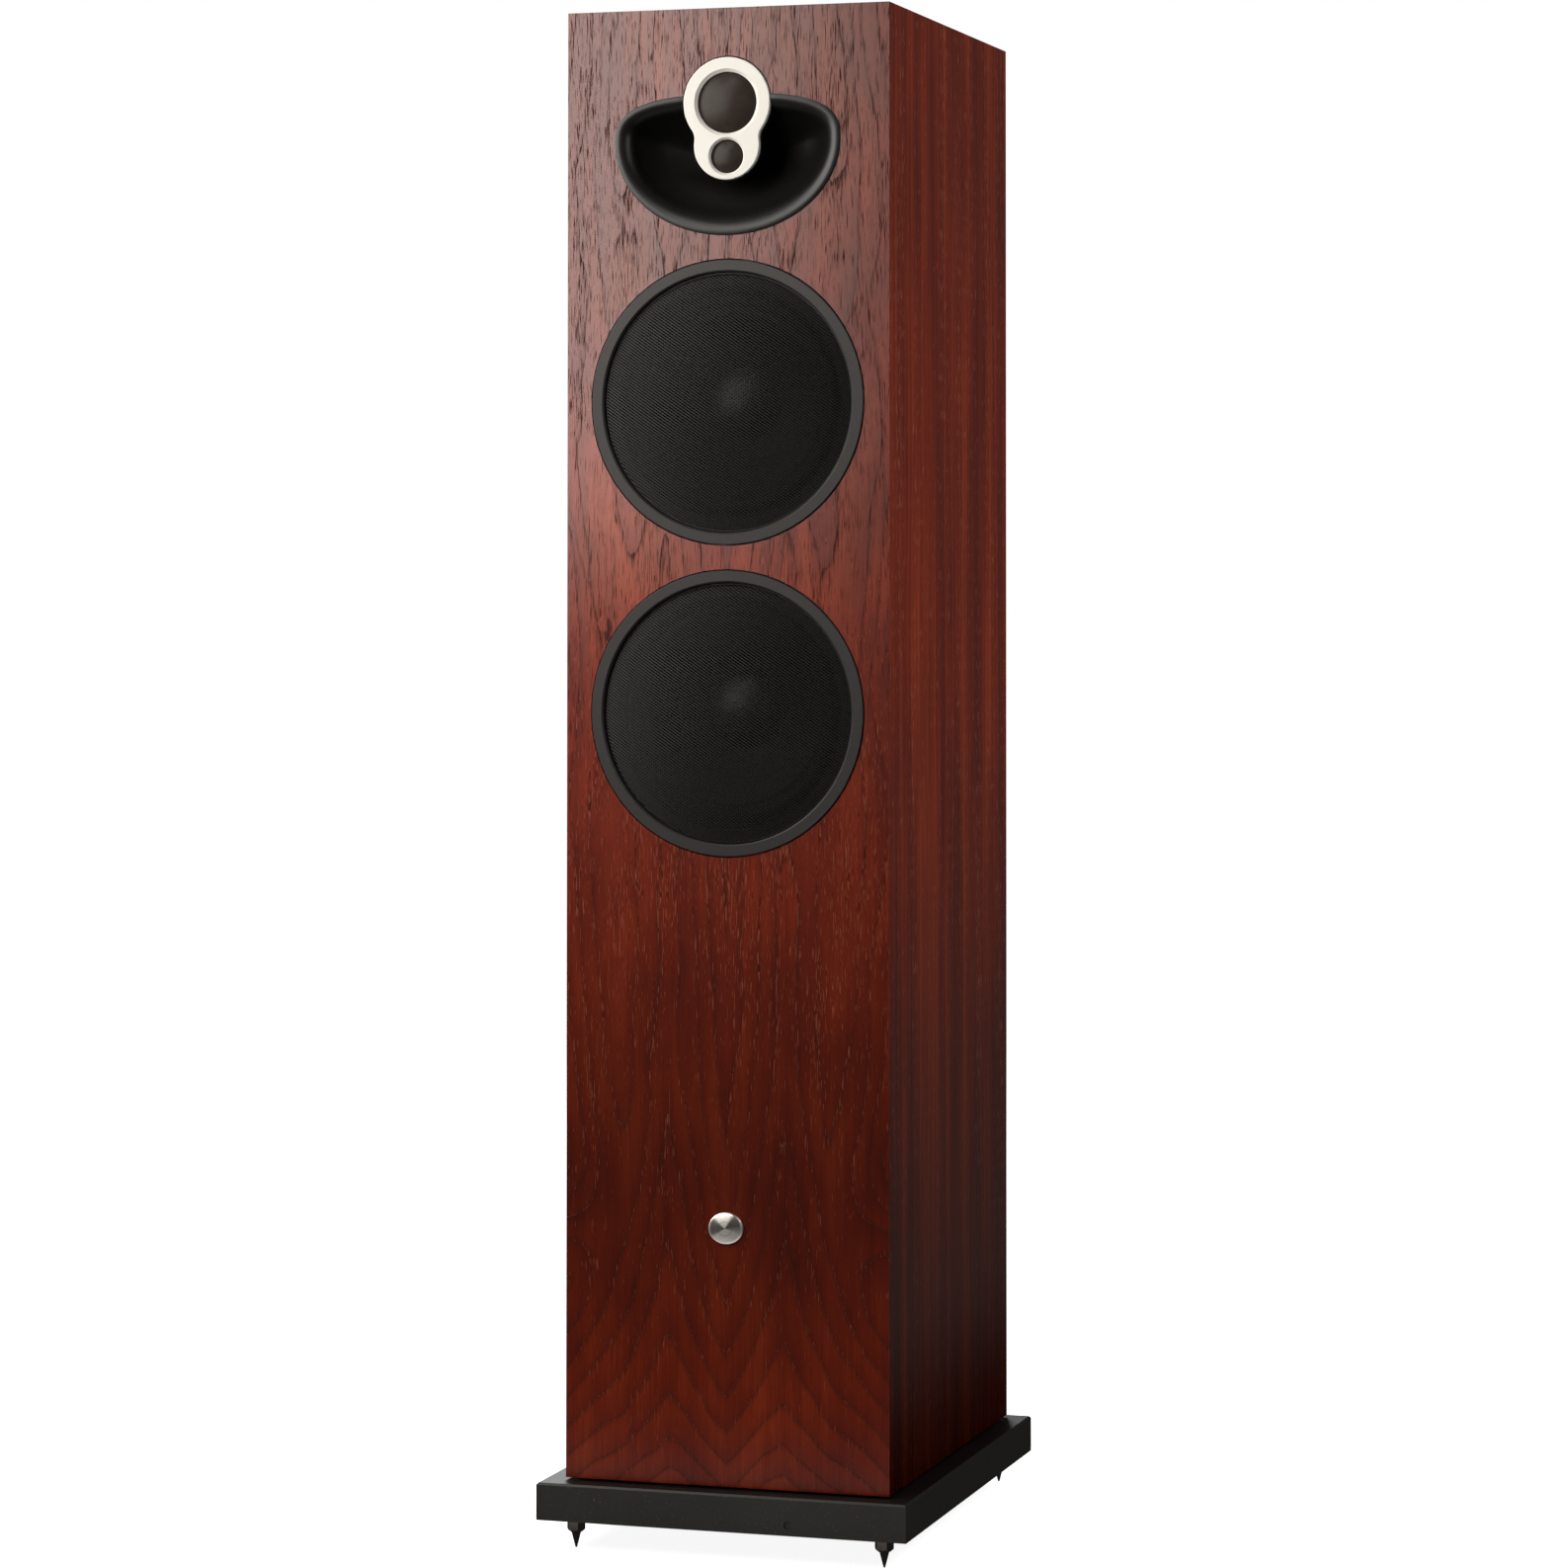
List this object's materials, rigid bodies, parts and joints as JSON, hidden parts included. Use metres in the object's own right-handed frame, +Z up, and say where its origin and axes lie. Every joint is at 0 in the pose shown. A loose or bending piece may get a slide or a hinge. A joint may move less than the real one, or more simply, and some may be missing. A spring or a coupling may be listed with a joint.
{
  "type": "floorstanding speaker",
  "caption": "Slim floorstanding loudspeaker: twin grilled woofers below a waveguide with dome drivers, on a spiked plinth",
  "frame": {"origin": "on the floor under the middle of the base plate, level with the spike tips", "axes": "+Z up, -Y the way the front baffle faces, +X to the right seen from the front"},
  "size_m": [0.2276, 0.287, 0.912],
  "materials": {
    "veneer": "satin open-pore red-brown veneer",
    "plywood": "raw board",
    "wadding": "white wadding",
    "ring_satin": "dark satin",
    "grille_mesh": "black powder coat",
    "cast_basket": "black cast alloy",
    "rubber": "matt black",
    "paper_cone": "coated paper",
    "coil_copper": "copper winding",
    "spider_cloth": "impregnated cloth",
    "motor_steel": "zinc plated",
    "ferrite": "sintered ferrite",
    "bowl_black": "satin black moulding",
    "pod_black": "satin black moulding",
    "fascia_satin": "satin pearl anodised",
    "guard_mesh": "fine dark mesh",
    "soft_dome": "coated cloth",
    "black_screws": "black oxide",
    "badge_steel": "brushed and polished",
    "port_black": "satin black moulding",
    "cup_black": "satin black moulding",
    "post_gold": "gold plated",
    "cap_red": "clear red",
    "cap_black": "black",
    "circuit_board": "solder-masked laminate",
    "filter_parts": "coils, film capacitors and resistors",
    "lead_sheath": "sheathed leads",
    "base_black": "satin black lacquer",
    "dark_steel": "dark steel"
  },
  "bodies": {
    "cabinet": {"front_baffle": "veneer", "rear_panel": "veneer", "left_side_panel": "veneer", "right_side_panel": "veneer", "top_panel": "veneer", "bottom_panel": "veneer", "window_braces": "plywood", "damping_pads": "wadding", "upper_woofer_trim_ring": "ring_satin", "lower_woofer_trim_ring": "ring_satin", "upper_woofer_basket": "cast_basket", "lower_woofer_basket": "cast_basket", "woofer_gaskets": "rubber", "woofer_top_plates": "motor_steel", "woofer_magnets": "ferrite", "woofer_yokes": "motor_steel", "waveguide_bowl": "bowl_black", "array_pod": "pod_black", "fascia_plate": "fascia_satin", "tweeter_mesh": "guard_mesh", "supertweeter_mesh": "guard_mesh", "tweeter_magnet": "ferrite", "tweeter_yoke": "motor_steel", "supertweeter_magnet": "ferrite", "supertweeter_yoke": "motor_steel", "array_screws": "black_screws", "badge": "badge_steel", "port_tube": "port_black", "terminal_cup": "cup_black", "terminal_posts": "post_gold", "panel_screws": "black_screws", "crossover_board": "circuit_board", "crossover_components": "filter_parts", "internal_wiring": "lead_sheath", "base_plate": "base_black", "base_bolts": "dark_steel", "base_spacers": "dark_steel", "spike_nuts": "dark_steel"},
    "upper_woofer_diaphragm": {"upper_woofer_cone": "paper_cone", "upper_woofer_dust_cap": "paper_cone", "upper_woofer_voice_coil": "coil_copper", "upper_woofer_surround": "rubber", "upper_woofer_spider": "spider_cloth"},
    "upper_grille": {"upper_woofer_grille": "grille_mesh"},
    "lower_woofer_diaphragm": {"lower_woofer_cone": "paper_cone", "lower_woofer_dust_cap": "paper_cone", "lower_woofer_voice_coil": "coil_copper", "lower_woofer_surround": "rubber", "lower_woofer_spider": "spider_cloth"},
    "lower_grille": {"lower_woofer_grille": "grille_mesh"},
    "tweeter_diaphragm": {"tweeter_dome": "soft_dome"},
    "supertweeter_diaphragm": {"supertweeter_dome": "soft_dome"},
    "spike_front_left_body": {"spike_front_left": "dark_steel"},
    "spike_front_right_body": {"spike_front_right": "dark_steel"},
    "spike_rear_left_body": {"spike_rear_left": "dark_steel"},
    "spike_rear_right_body": {"spike_rear_right": "dark_steel"},
    "binding_cap_treble_red_body": {"binding_cap_treble_red": "cap_red"},
    "binding_cap_treble_black_body": {"binding_cap_treble_black": "cap_black"},
    "binding_cap_bass_red_body": {"binding_cap_bass_red": "cap_red"},
    "binding_cap_bass_black_body": {"binding_cap_bass_black": "cap_black"}
  },
  "joints": [
    {"name": "upper_woofer_excursion", "type": "slide", "parent": "cabinet", "child": "upper_woofer_diaphragm", "axis": [0, -1, 0], "range_m": [-0.005, 0.005], "stiffness_N_per_m": 1200, "deforming": ["upper_woofer_surround", "upper_woofer_spider"]},
    {"name": "upper_grille_pull_off", "type": "slide", "parent": "cabinet", "child": "upper_grille", "axis": [0, -1, 0], "range_m": [0, 0.03]},
    {"name": "lower_woofer_excursion", "type": "slide", "parent": "cabinet", "child": "lower_woofer_diaphragm", "axis": [0, -1, 0], "range_m": [-0.005, 0.005], "stiffness_N_per_m": 1200, "deforming": ["lower_woofer_surround", "lower_woofer_spider"]},
    {"name": "lower_grille_pull_off", "type": "slide", "parent": "cabinet", "child": "lower_grille", "axis": [0, -1, 0], "range_m": [0, 0.03]},
    {"name": "tweeter_excursion", "type": "slide", "parent": "cabinet", "child": "tweeter_diaphragm", "axis": [0, -1, 0], "range_m": [-0.0005, 0.0005], "stiffness_N_per_m": 60},
    {"name": "supertweeter_excursion", "type": "slide", "parent": "cabinet", "child": "supertweeter_diaphragm", "axis": [0, -1, 0], "range_m": [-0.0003, 0.0003], "stiffness_N_per_m": 60},
    {"name": "spike_front_left_levelling", "type": "slide", "parent": "cabinet", "child": "spike_front_left_body", "axis": [0, 0, -1], "range_m": [0, 0.008]},
    {"name": "spike_front_right_levelling", "type": "slide", "parent": "cabinet", "child": "spike_front_right_body", "axis": [0, 0, -1], "range_m": [0, 0.008]},
    {"name": "spike_rear_left_levelling", "type": "slide", "parent": "cabinet", "child": "spike_rear_left_body", "axis": [0, 0, -1], "range_m": [0, 0.008]},
    {"name": "spike_rear_right_levelling", "type": "slide", "parent": "cabinet", "child": "spike_rear_right_body", "axis": [0, 0, -1], "range_m": [0, 0.008]},
    {"name": "binding_cap_treble_red_unscrew", "type": "slide", "parent": "cabinet", "child": "binding_cap_treble_red_body", "axis": [0, 1, 0], "range_m": [0, 0.006]},
    {"name": "binding_cap_treble_black_unscrew", "type": "slide", "parent": "cabinet", "child": "binding_cap_treble_black_body", "axis": [0, 1, 0], "range_m": [0, 0.006]},
    {"name": "binding_cap_bass_red_unscrew", "type": "slide", "parent": "cabinet", "child": "binding_cap_bass_red_body", "axis": [0, 1, 0], "range_m": [0, 0.006]},
    {"name": "binding_cap_bass_black_unscrew", "type": "slide", "parent": "cabinet", "child": "binding_cap_bass_black_body", "axis": [0, 1, 0], "range_m": [0, 0.006]}
  ]
}
